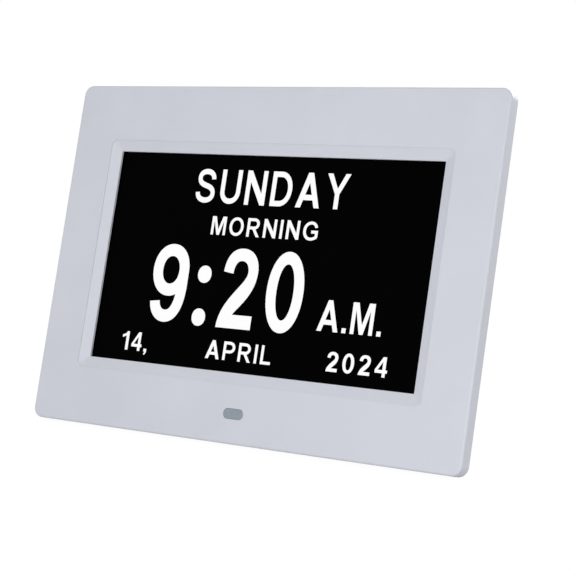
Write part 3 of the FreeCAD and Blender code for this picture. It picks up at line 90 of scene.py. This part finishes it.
class Finish:
    """A material in the making, with its nodes, their links and its shader."""

    def __init__(self, name):
        self.material = bpy.data.materials.new(name)
        self.material.use_nodes = True
        self.nodes = self.material.node_tree.nodes
        self.links = self.material.node_tree.links
        self.shader = self.nodes["Principled BSDF"]

    def noise(self, scale, detail, stretch=None):
        """Noise at a scale in features per metre. A stretch below 1 draws it out along that axis."""
        place = self.nodes.new("ShaderNodeTexCoord").outputs["Object"]
        if stretch:
            mapping = self.nodes.new("ShaderNodeMapping")
            mapping.inputs["Scale"].default_value = stretch
            self.links.new(place, mapping.inputs["Vector"])
            place = mapping.outputs["Vector"]
        texture = self.nodes.new("ShaderNodeTexNoise")
        texture.inputs["Scale"].default_value = scale
        texture.inputs["Detail"].default_value = detail
        self.links.new(place, texture.inputs["Vector"])
        return texture.outputs["Fac"]

    def spread(self, source, low, high):
        """Maps the useful middle of a noise to a range of values."""
        ranged = self.nodes.new("ShaderNodeMapRange")
        ranged.inputs["From Min"].default_value = NOISE_LOW
        ranged.inputs["From Max"].default_value = NOISE_HIGH
        ranged.inputs["To Min"].default_value = low
        ranged.inputs["To Max"].default_value = high
        self.links.new(source, ranged.inputs["Value"])
        return ranged.outputs["Result"]

    def colour(self, source, base, change, socket="Base Color"):
        """A colour that a noise makes a little darker or lighter."""
        mixed = self.nodes.new("ShaderNodeMix")
        mixed.data_type = "RGBA"
        # These sockets belong to a mix of colours
        factor, dark, light, result = mixed.inputs[0], mixed.inputs[6], mixed.inputs[7], mixed.outputs[2]
        dark.default_value = (*[c * (1 - change) for c in base], 1)
        light.default_value = (*[min(1, c * (1 + change)) for c in base], 1)
        self.links.new(self.spread(source, 0, 1), factor)
        self.links.new(result, self.shader.inputs[socket])

    def roughness(self, source, low, high):
        """A roughness that varies with a noise."""
        self.links.new(self.spread(source, low, high), self.shader.inputs["Roughness"])

    def bump(self, height, depth):
        """Relief of a real depth in metres."""
        relief = self.nodes.new("ShaderNodeBump")
        relief.inputs["Strength"].default_value = 1
        relief.inputs["Distance"].default_value = depth
        self.links.new(height, relief.inputs["Height"])
        self.links.new(relief.outputs["Normal"], self.shader.inputs["Normal"])

    def put(self, socket, value):
        """One plain value of the shader."""
        self.shader.inputs[socket].default_value = value


def moulded(name, colour, rough, grain=3500, grain_depth=0.000012, change=0.02):
    """Moulded plastic: a fine even grain, with faint cloudiness in colour and gloss."""
    finish = Finish(name)
    cloud = finish.noise(scale=45, detail=3)
    finish.colour(cloud, colour, change)
    finish.roughness(cloud, low=rough - 0.04, high=rough + 0.04)
    finish.bump(finish.noise(scale=grain, detail=4), grain_depth)
    return finish.material


def metal(name, colour, rough, brush=(1, 1, 1), change=0.06):
    """Plated or brushed metal. The brush stretches the noise along one direction."""
    finish = Finish(name)
    streak = finish.noise(scale=900, detail=5, stretch=brush)
    finish.colour(streak, colour, change)
    finish.roughness(streak, low=rough - 0.07, high=rough + 0.1)
    finish.put("Metallic", 1)
    finish.bump(streak, depth=0.000006)
    return finish.material


def rubber(name, colour, rough, grain):
    """Matt rubber, foam or paper with a coarse grain."""
    finish = Finish(name)
    cells = finish.noise(scale=grain, detail=5)
    finish.colour(cells, colour, change=0.15)
    finish.roughness(cells, low=rough - 0.05, high=rough + 0.05)
    finish.put("Specular IOR Level", 0.3)
    finish.bump(cells, depth=0.00004)
    return finish.material


def clear_sheet(name, colour, rough):
    """Clear sheet that the light passes through."""
    finish = Finish(name)
    cloud = finish.noise(scale=60, detail=2)
    finish.colour(cloud, colour, change=0.02)
    finish.roughness(cloud, low=rough, high=rough + 0.05)
    finish.put("Transmission Weight", 0.8)
    finish.put("IOR", 1.5)
    return finish.material


def display_black():
    """Matt polarizer over a black picture."""
    finish = Finish("display_black")
    wide = finish.noise(scale=30, detail=2)
    finish.colour(wide, (0.0003, 0.0003, 0.0004), change=0.3)
    finish.roughness(wide, low=0.30, high=0.38)
    finish.put("Specular IOR Level", 0.01)
    finish.bump(finish.noise(scale=9000, detail=2), depth=0.000002)
    return finish.material


def lit_white():
    """The lit parts of the display's picture."""
    finish = Finish("lit_white")
    finish.put("Base Color", (0, 0, 0, 1))
    finish.colour(finish.noise(scale=5000, detail=1), (0.985, 0.985, 0.985), 0.015, "Emission Color")
    finish.put("Emission Strength", 1)
    finish.put("Specular IOR Level", 0)
    return finish.material


def sensor_lens():
    """Smoky window that the light sensor looks through."""
    finish = Finish("sensor_lens")
    cloud = finish.noise(scale=400, detail=2)
    finish.colour(cloud, (0.252, 0.300, 0.348), change=0.05)
    finish.roughness(cloud, low=0.16, high=0.24)
    return finish.material


def circuit_green():
    """Solder mask with a faint pattern of tracks under it."""
    finish = Finish("circuit_green")
    place = finish.nodes.new("ShaderNodeTexCoord")
    tracks = finish.nodes.new("ShaderNodeTexBrick")
    tracks.inputs["Scale"].default_value = 160
    tracks.inputs["Mortar Size"].default_value = 0.03
    tracks.inputs["Color1"].default_value = (0.010, 0.115, 0.045, 1)
    tracks.inputs["Color2"].default_value = (0.012, 0.130, 0.050, 1)
    tracks.inputs["Mortar"].default_value = (0.030, 0.210, 0.085, 1)
    finish.links.new(place.outputs["Object"], tracks.inputs["Vector"])
    finish.links.new(tracks.outputs["Color"], finish.shader.inputs["Base Color"])
    finish.roughness(finish.noise(scale=200, detail=2), low=0.25, high=0.4)
    finish.bump(tracks.outputs["Fac"], depth=0.00002)
    return finish.material


# Finish of each material slot
WHITE = (0.595, 0.615, 0.672)
LOOKS = {
    "white_shell": moulded("shell_white", WHITE, rough=0.50),
    "white_leg": moulded("leg_white", WHITE, rough=0.52, grain=3000),
    "white_button": moulded("button_white", (0.560, 0.578, 0.625), rough=0.38, grain_depth=0.000006),
    "white_tray": moulded("tray_white", (0.75, 0.75, 0.75), rough=0.6),
    "sensor_lens": sensor_lens(),
    "display_surface": display_black(),
    "display_cell": clear_sheet("display_cell", (0.75, 0.80, 0.82), rough=0.05),
    "optical_film": clear_sheet("optical_film", (0.85, 0.87, 0.90), rough=0.35),
    "lamp": moulded("lamp_yellow", (0.80, 0.70, 0.25), rough=0.35, grain=1500, change=0.1),
    "flat_cable": moulded("cable_amber", (0.42, 0.20, 0.035), rough=0.3, grain=1200, change=0.06),
    "circuit_board": circuit_green(),
    "black_package": moulded("package_black", (0.018, 0.018, 0.020), rough=0.45, grain=4000, change=0.1),
    "connector_plastic": moulded("connector_ivory", (0.66, 0.62, 0.50), rough=0.45),
    "plunger": moulded("plunger_black", (0.02, 0.02, 0.02), rough=0.4),
    "sheet_steel": metal("sheet_steel", (0.55, 0.56, 0.57), rough=0.34, brush=(0.08, 1, 1)),
    "screw_steel": metal("screw_steel", (0.56, 0.57, 0.58), rough=0.28),
    "capacitor_can": metal("capacitor_can", (0.62, 0.63, 0.65), rough=0.3),
    "cell_steel": metal("cell_steel", (0.66, 0.66, 0.67), rough=0.18),
    "label": metal("label_film", (0.52, 0.53, 0.54), rough=0.42, brush=(0.05, 1, 1), change=0.03),
    "foam": rubber("foam_black", (0.018, 0.018, 0.018), rough=0.9, grain=2500),
    "wire_cover": rubber("wire_black", (0.02, 0.02, 0.02), rough=0.5, grain=1800),
    "magnet": rubber("magnet_ferrite", (0.035, 0.035, 0.038), rough=0.55, grain=1500),
    "speaker_paper": rubber("paper_black", (0.025, 0.024, 0.023), rough=0.85, grain=1200),
    "foot_rubber": rubber("foot_rubber", (0.055, 0.055, 0.058), rough=0.75, grain=1600),
}
LIT = lit_white()
PRINT = moulded("print_grey", (0.16, 0.165, 0.175), rough=0.6)


def dress_nodes():
    """Gives every node of the frame the finish of its material slot."""
    slot_of = {s["node"]: s["material_slot"] for s in frame["record"]["subparts"]}
    for name, piece in frame["nodes"].items():
        for holder in piece.material_slots:
            holder.material = LOOKS[slot_of[name]]


# Letters, in a box 1 high. A glyph is a width and a list of shapes, each an outline and its holes.
STEM = 0.145
BAR = 0.155
DOT = 0.155
DIGIT_WIDTH = 0.54
CURVE_STEPS = 14
CORNER_PULL = 0.58

# Middle of a pen stroke along the left side, the bottom and the top of the box
SIDE = STEM / 2
LOW = BAR / 2
HIGH = 1 - BAR / 2


def curve(line, first, second, end):
    """Carries a line on along a cubic curve."""
    ends = (line[-1], first, second, end)
    for step in range(1, CURVE_STEPS + 1):
        t = step / CURVE_STEPS
        s = 1 - t
        weights = (s**3, 3 * s * s * t, 3 * s * t * t, t**3)
        line.append(tuple(sum(w * p[axis] for w, p in zip(weights, ends)) for axis in (0, 1)))


def quarter(line, corner, end):
    """Carries a line on round a quarter turn, drawn towards a corner."""
    first = tuple(a + (c - a) * CORNER_PULL for a, c in zip(line[-1], corner))
    second = tuple(b + (c - b) * CORNER_PULL for b, c in zip(end, corner))
    curve(line, first, second, end)


def oval(left, bottom, right, top):
    """A closed oval that fills a box."""
    mid_x, mid_y = (left + right) / 2, (bottom + top) / 2
    line = [(right, mid_y)]
    quarter(line, (right, top), (mid_x, top))
    quarter(line, (left, top), (left, mid_y))
    quarter(line, (left, bottom), (mid_x, bottom))
    quarter(line, (right, bottom), (right, mid_y))
    return line[1:]


def ring(left, bottom, right, top):
    """An oval with a hole, drawn with the pen of the letters."""
    return [oval(left, bottom, right, top), oval(left + STEM, bottom + BAR, right - STEM, top - BAR)]


def pen(line):
    """The outline of a line drawn with a pen that is as wide as a stem and as tall as a bar."""
    one_side, other_side = [], []
    for index, point in enumerate(line):
        before, after = line[max(index - 1, 0)], line[min(index + 1, len(line) - 1)]
        along = (after[0] - before[0], after[1] - before[1])
        length = math.hypot(*along)
        normal = (-along[1] / length * STEM / 2, along[0] / length * BAR / 2)
        one_side.append((point[0] + normal[0], point[1] + normal[1]))
        other_side.append((point[0] - normal[0], point[1] - normal[1]))
    return [one_side + other_side[::-1]]


def plate(left, bottom, right, top):
    """A plain rectangle."""
    return [[(left, bottom), (right, bottom), (right, top), (left, top)]]


def bowl(right, bottom, top, straight):
    """The round part of D, P and R, from the stem out to the right and back to the stem."""
    low, high, side = bottom + BAR / 2, top - BAR / 2, right - STEM / 2
    middle = (low + high) / 2
    line = [(STEM, high), (straight, high)]
    quarter(line, (side, high), (side, middle))
    quarter(line, (side, low), (straight, low))
    return pen(line + [(STEM, low)])


def letter_a():
    """A, with its three-sided hole."""
    left_half = [(0.16, 0), (-0.015, 0), (0.31, 1)]
    right_half = [(0.475, 1), (0.795, 0), (0.62, 0)]
    under_bar = [(0.551, 0.215), (0.23, 0.215)]
    hole = [(0.28, 0.37), (0.502, 0.37), (0.392, 0.713)]
    return 0.78, [[left_half + right_half + under_bar, hole]]


def letter_g():
    """G, as a pen stroke and its short bar."""
    width = 0.80
    right = width - SIDE
    bar_top = 0.53
    line = [(0.70, 0.68)]
    quarter(line, (0.66, HIGH), (0.42, HIGH))
    quarter(line, (SIDE, HIGH), (SIDE, 0.50))
    quarter(line, (SIDE, LOW), (0.42, LOW))
    curve(line, (0.54, LOW), (0.68, 0.135), (right, 0.20))
    line += [(right, 0.36), (right, bar_top)]
    return width, [pen(line), plate(0.44, bar_top - BAR, 0.70, bar_top)]


def letter_l():
    """L, as one outline."""
    width = 0.57
    return width, [[[(0, 0), (0, 1), (STEM, 1), (STEM, BAR), (width, BAR), (width, 0)]]]


def letter_m():
    """M, as one outline."""
    width = 0.83
    left_leg = [(0.14, 0.77), (0.14, 0), (0, 0), (0, 1), (0.22, 1)]
    right_leg = [(width - x, y) for x, y in reversed(left_leg)]
    return width, [[left_leg + [(0.415, 0.30)] + right_leg + [(0.485, 0), (0.345, 0)]]]


def letter_n():
    """N, as one half and the same half turned round."""
    width = 0.71
    half = [(0, 0), (0, 1), (0.155, 1), (width - STEM, 0.33), (width - STEM, 1)]
    return width, [[half + [(width - x, 1 - y) for x, y in half]]]


def letter_r():
    """R, as a stem, a bowl and a leg."""
    leg = [(0.30, 0.42), (0.46, 0.44), (0.73, 0), (0.555, 0)]
    return 0.72, [plate(0, 0, STEM, 1), bowl(0.68, 0.40, 1, 0.38), [leg]]


def letter_s():
    """S, as one pen stroke from its upper to its lower end."""
    line = [(0.60, 0.70)]
    quarter(line, (0.60, HIGH), (0.345, HIGH))
    curve(line, (0.20, HIGH), (0.10, 0.86), (0.10, 0.74))
    curve(line, (0.10, 0.58), (0.24, 0.545), (0.35, 0.51))
    curve(line, (0.48, 0.475), (0.615, 0.43), (0.615, 0.28))
    curve(line, (0.615, 0.15), (0.50, LOW), (0.355, LOW))
    quarter(line, (0.075, LOW), (0.075, 0.31))
    return 0.70, [pen(line)]


def letter_u():
    """U, as one pen stroke."""
    width = 0.71
    right = width - SIDE
    line = [(SIDE, 1), (SIDE, 0.37)]
    quarter(line, (SIDE, LOW), (width / 2, LOW))
    quarter(line, (right, LOW), (right, 0.37))
    return width, [pen(line + [(right, 1)])]


def letter_y():
    """Y, as one outline."""
    left_half = [(0.30, 0), (0.30, 0.42), (-0.015, 1), (0.155, 1)]
    right_half = [(0.59, 1), (0.755, 1), (0.445, 0.42), (0.445, 0)]
    return 0.74, [[left_half + [(0.372, 0.575)] + right_half]]


def digit_one():
    """1, as a stem with a slanted flag."""
    stem = [(0.215, 0), (0.36, 0), (0.36, 1), (0.245, 1)]
    flag = [(0.18, 0.885), (0, 0.80), (0, 0.665), (0.215, 0.76)]
    return 0.40, [[stem + flag]]


def digit_two():
    """2, drawn round its outline from the left end of its base."""
    line = [(0.01, 0), (0.535, 0), (0.535, 0.17), (0.235, 0.17)]
    curve(line, (0.29, 0.26), (0.535, 0.43), (0.535, 0.71))
    curve(line, (0.535, 0.89), (0.43, 1), (0.275, 1))
    curve(line, (0.12, 1), (0.03, 0.89), (0.02, 0.70))
    line.append((0.165, 0.68))
    curve(line, (0.17, 0.79), (0.21, 0.845), (0.275, 0.845))
    curve(line, (0.345, 0.845), (0.39, 0.79), (0.39, 0.705))
    curve(line, (0.39, 0.55), (0.02, 0.36), (0.01, 0))
    return DIGIT_WIDTH, [[line[:-1]]]


def digit_four():
    """4, with its three-sided hole."""
    slope = [(0, 0.205), (0, 0.36), (0.335, 1), (0.485, 1)]
    arm = [(0.485, 0.36), (0.565, 0.36), (0.565, 0.205), (0.485, 0.205)]
    foot = [(0.485, 0), (0.345, 0), (0.345, 0.205)]
    hole = [(0.13, 0.36), (0.345, 0.36), (0.345, 0.77)]
    return 0.56, [[slope + arm + foot, hole]]


def digit_nine():
    """9, as a ring and a tail."""
    right = DIGIT_WIDTH - SIDE
    tail = [(right, 0.66), (right, 0.50)]
    curve(tail, (right, 0.22), (0.39, LOW), (0.26, LOW))
    quarter(tail, (0.105, LOW), (0.0925, 0.26))
    return DIGIT_WIDTH, [ring(0, 0.335, DIGIT_WIDTH, 1), pen(tail)]


def comma():
    """A square dot with a slanted tail."""
    dot = [(0.08, 0), (0, 0), (0, DOT), (DOT, DOT)]
    tail = [(DOT, -0.03), (0.07, -0.18), (0.01, -0.13)]
    return DOT, [[dot + tail]]


def colon():
    """Two round dots."""
    width, height = 0.217, 0.219
    return width, [[oval(0, base, width, base + height)] for base in (-0.008, 0.535)]


GLYPHS = {
    "A": letter_a(),
    "D": (0.71, [plate(0, 0, STEM, 1), bowl(0.71, 0, 1, 0.30)]),
    "G": letter_g(),
    "I": (STEM, [plate(0, 0, STEM, 1)]),
    "L": letter_l(),
    "M": letter_m(),
    "N": letter_n(),
    "O": (0.80, [ring(0, 0, 0.80, 1)]),
    "P": (0.67, [plate(0, 0, STEM, 1), bowl(0.67, 0.38, 1, 0.36)]),
    "R": letter_r(),
    "S": letter_s(),
    "U": letter_u(),
    "Y": letter_y(),
    "0": (DIGIT_WIDTH, [ring(0, 0, DIGIT_WIDTH, 1)]),
    "1": digit_one(),
    "2": digit_two(),
    "4": digit_four(),
    "9": digit_nine(),
    ".": (DOT, [plate(0, 0, DOT, DOT)]),
    ",": comma(),
    ":": colon(),
}


def word_shapes(text, left, base, height, width, gap):
    """The shapes of a word in millimetres, stretched sideways to fill its width."""
    natural = sum(GLYPHS[letter][0] for letter in text) + gap * (len(text) - 1)
    across = width / natural
    shapes, pen_x = [], 0.0
    for letter in text:
        advance, parts = GLYPHS[letter]
        start = left + pen_x * across
        for loops in parts:
            shapes.append([[(start + x * across, base + y * height) for x, y in loop] for loop in loops])
        pen_x += advance + gap
    return shapes


def box_middle(node):
    """The middle of a node's box."""
    low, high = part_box(node)
    return (low + high) / 2


def placer(origin, across, out, size):
    """A function that turns a flat shape's x and y and a height over it into a point on the case."""
    def place(x, y, height):
        return origin + across * (x * size) + UP * (y * size) + out * height

    return place


def flat_piece(name, shapes, place, thickness):
    """A thin solid made of flat shapes, which place sets on the case."""
    mesh = bmesh.new()
    for loops in shapes:
        triangles = tessellate_polygon([[Vector((x, y, 0)) for x, y in loop] for loop in loops])
        points = [point for loop in loops for point in loop]
        lower = [mesh.verts.new(place(x, y, 0)) for x, y in points]
        upper = [mesh.verts.new(place(x, y, thickness)) for x, y in points]
        for a, b, c in triangles:
            mesh.faces.new((upper[a], upper[b], upper[c]))
            mesh.faces.new((lower[c], lower[b], lower[a]))
        first = 0
        for loop in loops:
            count = len(loop)
            for n in range(count):
                a, b = first + n, first + (n + 1) % count
                mesh.faces.new((lower[a], lower[b], upper[b], upper[a]))
            first += count
    bmesh.ops.recalc_face_normals(mesh, faces=mesh.faces)
    data = bpy.data.meshes.new(name)
    mesh.to_mesh(data)
    mesh.free()
    piece = bpy.data.objects.new(name, data)
    bpy.context.scene.collection.objects.link(piece)
    return piece


# Lines of the picture: text, left end, base line, height and width in millimetres, gap in letter heights
PICTURE = {
    "weekday": ("SUNDAY", -37.2, 24.2, 14.3, 73.5, 0.19),
    "part_of_day": ("MORNING", -26.6, 11.1, 7.7, 51.5, 0.21),
    "hour": ("9", -52.7, -26.8, 32.9, 18.2, 0),
    "hour_marks": (":", -29.7, -26.8, 32.9, 6.7, 0),
    "minutes": ("20", -17.6, -26.8, 32.9, 39.9, 0.16),
    "half_of_day": ("A.M.", 30.8, -24.3, 12.4, 28.6, 0.16),
    "day": ("14,", -63.4, -40.0, 7.8, 13.2, 0.15),
    "month": ("APRIL", -20.0, -39.8, 7.6, 31.5, 0.21),
    "year": ("2024", 37.3, -39.7, 7.8, 27.1, 0.22),
}
PICTURE_THICKNESS = 0.03 * MM


def picture_middle():
    """The middle of the display's front surface, where the places of the picture are measured from."""
    low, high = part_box("front_polarizer")
    tall, deep = (high - low).z, (high - low).y
    # Leaned, a slab is length * cos + thick * sin tall and length * sin + thick * cos deep
    thick = (deep * math.cos(LEAN) - tall * math.sin(LEAN)) / math.cos(2 * LEAN)
    return box_middle("front_polarizer") + OUT * (thick / 2)


def show_picture():
    """The lit words and digits, lying on the display's front surface."""
    place = placer(picture_middle(), RIGHT, OUT, MM)
    for name, line in PICTURE.items():
        piece = flat_piece(f"picture_{name}", word_shapes(*line), place, PICTURE_THICKNESS)
        piece.data.materials.append(LIT)
        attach(piece, "case")


def arrow(turn):
    """A triangle that points along an angle."""
    reach, spread = 0.55, 2.2
    angles = (turn, turn + spread, turn - spread)
    return [[[(reach * math.cos(a), reach * math.sin(a)) for a in angles]]]


def power_sign():
    """A broken ring and a bar."""
    radius, width, steps = 0.42, 0.11, 28
    bar_bottom, bar_top = 0.08, 0.62
    start, end = math.radians(125), math.radians(415)
    angles = [start + (end - start) * n / steps for n in range(steps + 1)]
    outer = [((radius + width / 2) * math.cos(a), (radius + width / 2) * math.sin(a)) for a in angles]
    inner = [((radius - width / 2) * math.cos(a), (radius - width / 2) * math.sin(a)) for a in angles]
    return [[outer + inner[::-1]], plate(-width / 2, bar_bottom, width / 2, bar_top)]


def bars_sign():
    """Three level bars."""
    half_width, half_height, pitch = 0.5, 0.07, 0.34
    return [plate(-half_width, y - half_height, half_width, y + half_height) for y in (-pitch, 0, pitch)]


def tick_sign():
    """A tick."""
    return [[[(-0.5, 0), (-0.38, 0.13), (-0.14, -0.11), (0.40, 0.43), (0.52, 0.31), (-0.14, -0.36)]]]


# Printed signs, drawn about 1 wide and set beside the button of the same name
SIGNS = {
    "power": power_sign(),
    "menu": bars_sign(),
    "left": arrow(math.pi),
    "up": arrow(math.pi / 2),
    "down": arrow(-math.pi / 2),
    "right": arrow(0),
    "ok": tick_sign(),
}
SIGN_SIZE = 2.6 * MM
SIGN_OFFSET = 9.2 * MM
SIGN_THICKNESS = 0.03 * MM


def print_signs():
    """A small printed sign beside each button, read from behind."""
    depth = max(REAR.dot(v.co) for v in frame["nodes"]["rear_cover"].data.vertices)
    for name, shapes in SIGNS.items():
        middle = box_middle(f"button_{name}") - RIGHT * SIGN_OFFSET
        middle += REAR * (depth - REAR.dot(middle))
        place = placer(middle, -RIGHT, REAR, SIGN_SIZE)
        piece = flat_piece(f"sign_{name}", shapes, place, SIGN_THICKNESS)
        piece.data.materials.append(PRINT)
        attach(piece, "case")


def plain_view(nodes, links):
    """1 for camera, glossy and transmission rays, otherwise 0."""
    path = nodes.new("ShaderNodeLightPath")
    total = path.outputs["Is Camera Ray"]
    for name in ("Is Glossy Ray", "Is Transmission Ray"):
        added = nodes.new("ShaderNodeMath")
        added.operation = "MAXIMUM"
        links.new(total, added.inputs[0])
        links.new(path.outputs[name], added.inputs[1])
        total = added.outputs[0]
    return total


def white_floor():
    """White table whose camera view is almost all white, with a faint shadow left in it."""
    bpy.ops.mesh.primitive_plane_add(size=FLOOR_SIZE)
    floor = bpy.context.object
    floor.name = "table"
    finish = Finish("table_white")
    nodes, links = finish.nodes, finish.links
    finish.colour(finish.noise(scale=3, detail=2), FLOOR_COLOUR, change=0.01)
    finish.put("Roughness", 0.9)
    finish.put("Specular IOR Level", 0)
    white = nodes.new("ShaderNodeEmission")
    white.inputs["Strength"].default_value = FLOOR_WHITE_LEVEL
    share = nodes.new("ShaderNodeMath")
    share.operation = "MULTIPLY"
    share.inputs[1].default_value = FLOOR_SHOWN_WHITE
    mixed = nodes.new("ShaderNodeMixShader")
    links.new(plain_view(nodes, links), share.inputs[0])
    links.new(share.outputs[0], mixed.inputs[0])
    links.new(finish.shader.outputs[0], mixed.inputs[1])
    links.new(white.outputs[0], mixed.inputs[2])
    links.new(mixed.outputs[0], nodes["Material Output"].inputs["Surface"])
    floor.data.materials.append(finish.material)


def white_surround():
    """White surround in view, and on the object an even light that grows to the right."""
    world = bpy.data.worlds.new("surround")
    bpy.context.scene.world = world
    world.use_nodes = True
    nodes, links = world.node_tree.nodes, world.node_tree.links
    direction = nodes.new("ShaderNodeTexCoord")
    parts = nodes.new("ShaderNodeSeparateXYZ")
    level = nodes.new("ShaderNodeMath")
    level.operation = "MULTIPLY_ADD"
    level.inputs[1].default_value = SURROUND_LEVEL * SURROUND_SIDE
    level.inputs[2].default_value = SURROUND_LEVEL
    light = nodes["Background"]
    light.inputs["Color"].default_value = PURE_WHITE
    shown = nodes.new("ShaderNodeBackground")
    shown.inputs["Color"].default_value = PURE_WHITE
    shown.inputs["Strength"].default_value = 1
    mixed = nodes.new("ShaderNodeMixShader")
    links.new(direction.outputs["Generated"], parts.inputs[0])
    links.new(parts.outputs["X"], level.inputs[0])
    links.new(level.outputs[0], light.inputs["Strength"])
    links.new(plain_view(nodes, links), mixed.inputs[0])
    links.new(light.outputs[0], mixed.inputs[1])
    links.new(shown.outputs[0], mixed.inputs[2])
    links.new(mixed.outputs[0], nodes["World Output"].inputs["Surface"])


def aim(thing, target):
    """Points a lamp or camera at a target, with its top upwards."""
    thing.rotation_euler = (target - thing.location).to_track_quat("-Z", "Y").to_euler()


def lamp(name, turn, height, power):
    """A broad lamp that stands level round the clock and shines at its middle."""
    data = bpy.data.lights.new(name, "AREA")
    data.shape = "RECTANGLE"
    data.size = LAMP_WIDTH
    data.size_y = LAMP_TALL
    data.energy = power
    thing = bpy.data.objects.new(name, data)
    bpy.context.scene.collection.objects.link(thing)
    middle = box_middle("front_frame")
    thing.location = middle + Vector((math.sin(turn), -math.cos(turn), 0)) * LAMP_DISTANCE
    thing.location.z = height
    aim(thing, middle)


def add_camera():
    """The photograph's camera."""
    data = bpy.data.cameras.new("camera")
    data.lens = CAMERA_LENS_MM
    data.sensor_width = CAMERA_SENSOR_MM
    camera = bpy.data.objects.new("camera", data)
    bpy.context.scene.collection.objects.link(camera)
    level = math.cos(CAMERA_RISE)
    right, ahead = math.sin(CAMERA_TURN) * level, -math.cos(CAMERA_TURN) * level
    direction = Vector((right, ahead, math.sin(CAMERA_RISE)))
    camera.location = CAMERA_TARGET + direction * CAMERA_DISTANCE
    aim(camera, CAMERA_TARGET)
    bpy.context.scene.camera = camera


add_camera()
dress_nodes()
show_picture()
print_signs()
white_floor()
white_surround()
lamp("key", KEY_TURN, KEY_HEIGHT, KEY_POWER)
lamp("back", BACK_TURN, BACK_HEIGHT, BACK_POWER)
bpy.context.scene.view_settings.view_transform = "Standard"
